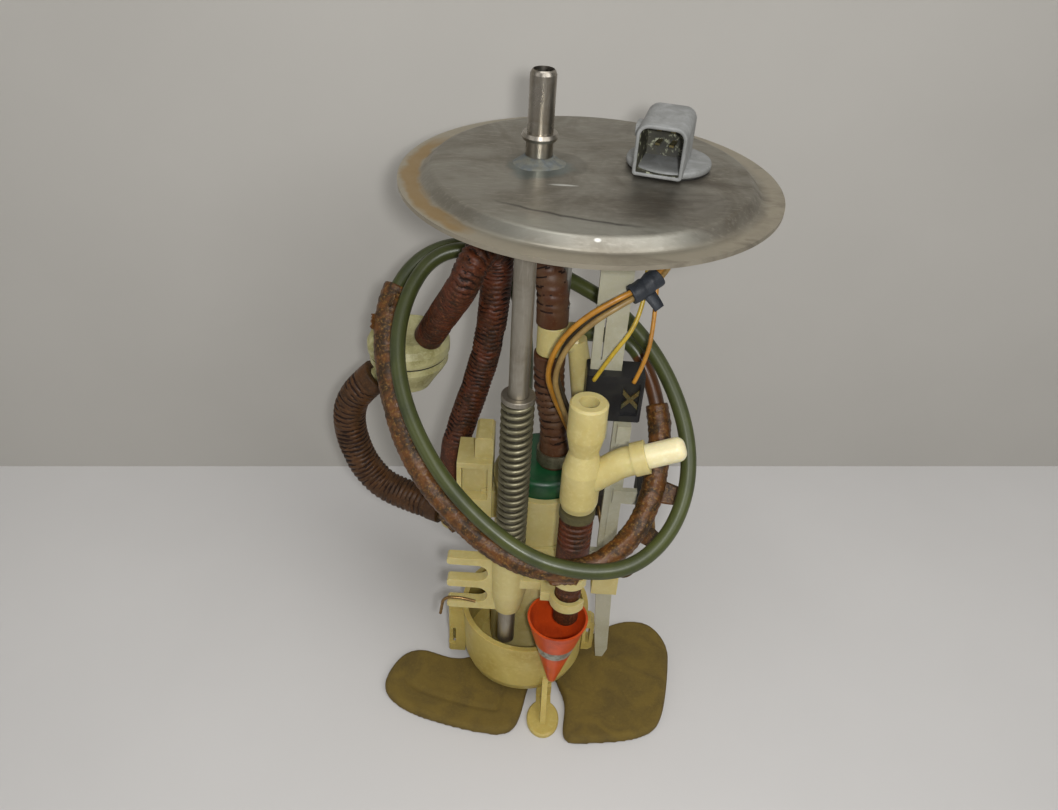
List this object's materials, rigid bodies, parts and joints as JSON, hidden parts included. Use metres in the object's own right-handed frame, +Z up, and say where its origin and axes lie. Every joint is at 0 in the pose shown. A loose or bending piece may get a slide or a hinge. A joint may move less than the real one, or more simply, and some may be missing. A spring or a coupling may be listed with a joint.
{
  "type": "fuel pump module",
  "caption": "In-tank fuel pump module: round steel cover with a supply tube and socket, sprung guide rod, reservoir cup with pump and strainer, coiled fuel line and level sender.",
  "frame": {"origin": "centre of the cover's sealing plane, the underside of its outer rim", "axes": "+Z up, along the supply tube's free end; -Y towards the open front; +X towards the electrical socket's side"},
  "size_m": [0.1809, 0.1421, 0.2911],
  "materials": {
    "steel_plate": "stamped, worn",
    "nickel_tube": "plated, satin",
    "grey_plastic": "moulded",
    "contact_brass": "tarnished",
    "black_rubber": "matte",
    "spring_steel": "drawn wire",
    "cream_nylon": "moulded, aged",
    "white_nylon": "moulded",
    "pale_plastic": "moulded",
    "black_plastic": "moulded",
    "green_plastic": "moulded",
    "pump_steel": "deep drawn",
    "magnet": "sintered",
    "carbon": "pressed carbon",
    "armature_steel": "laminated",
    "shaft_steel": "ground",
    "corrugated_hose": "corrugated, stained",
    "nylon_tube": "extruded",
    "sleeve_plastic": "split sleeve, stained",
    "orange_plastic": "moulded",
    "olive_rubber": "moulded",
    "regulator_plastic": "moulded",
    "filter_felt": "felted",
    "clamp_steel": "strip",
    "wire_cover": "extruded",
    "float_foam": "foamed",
    "arm_wire": "drawn wire"
  },
  "bodies": {
    "reservoir": {"reservoir_cup": "cream_nylon", "filter_sock": "filter_felt", "sock_collar": "cream_nylon", "pump_inlet_base": "black_plastic", "pump_can": "pump_steel", "pump_outlet_cap": "green_plastic", "rubber_boot": "black_rubber", "pump_magnets": "magnet", "pump_brushes": "carbon", "brush_card": "black_plastic", "impeller_chamber": "pump_steel", "pump_holder": "cream_nylon", "return_port": "cream_nylon", "guide_bracket": "cream_nylon", "port_block": "cream_nylon", "wire_hook": "arm_wire", "t_fitting": "cream_nylon", "t_side_pin": "white_nylon", "drain_seal": "olive_rubber", "drain_hose": "corrugated_hose", "cap_cone": "orange_plastic", "regulator_cup": "regulator_plastic", "regulator_cap": "regulator_plastic", "regulator_seal": "black_rubber", "regulator_valve": "shaft_steel", "outlet_tee": "cream_nylon", "outlet_hose": "corrugated_hose", "supply_hose": "corrugated_hose", "arch_hose": "corrugated_hose", "loop_hose": "corrugated_hose", "outlet_clamp": "clamp_steel", "nylon_line": "nylon_tube", "split_sleeve": "sleeve_plastic", "sender_housing": "black_plastic", "sender_contacts": "contact_brass", "sender_rail": "pale_plastic", "rail_clip": "cream_nylon", "pivot_block": "black_plastic", "coil_spring": "spring_steel", "pump_wires": "wire_cover", "sender_wires": "wire_cover"},
    "cover": {"cover_plate": "steel_plate", "supply_tube": "nickel_tube", "braze_collar": "contact_brass", "socket_housing": "grey_plastic", "socket_blades": "contact_brass", "socket_gasket": "black_rubber", "guide_rod": "nickel_tube", "stop_ring": "nickel_tube", "vent_stub": "nickel_tube", "guide_strip": "pale_plastic", "tape_wrap": "black_plastic"},
    "pump_rotor": {"armature": "armature_steel", "rotor_shaft": "shaft_steel", "impeller": "black_plastic"},
    "sender_arm": {"float_arm": "arm_wire", "float_body": "float_foam"}
  },
  "joints": [
    {"name": "cover_slide", "type": "slide", "parent": "reservoir", "child": "cover", "axis": [0, 0, 1], "range_m": [-0.025, 0], "stiffness_N_per_m": 400, "springref_m": 0.03, "deforming": ["coil_spring", "supply_hose", "pump_wires", "sender_wires"]},
    {"name": "arm_swing", "type": "hinge", "parent": "reservoir", "child": "sender_arm", "pos_m": [0.035, -0.015, -0.128], "axis": [0, 1, 0], "range_deg": [-75, 0]},
    {"name": "rotor_spin", "type": "hinge", "parent": "reservoir", "child": "pump_rotor", "pos_m": [-0.009, -0.009, -0.193], "axis": [0, 0, 1], "continuous": true}
  ]
}
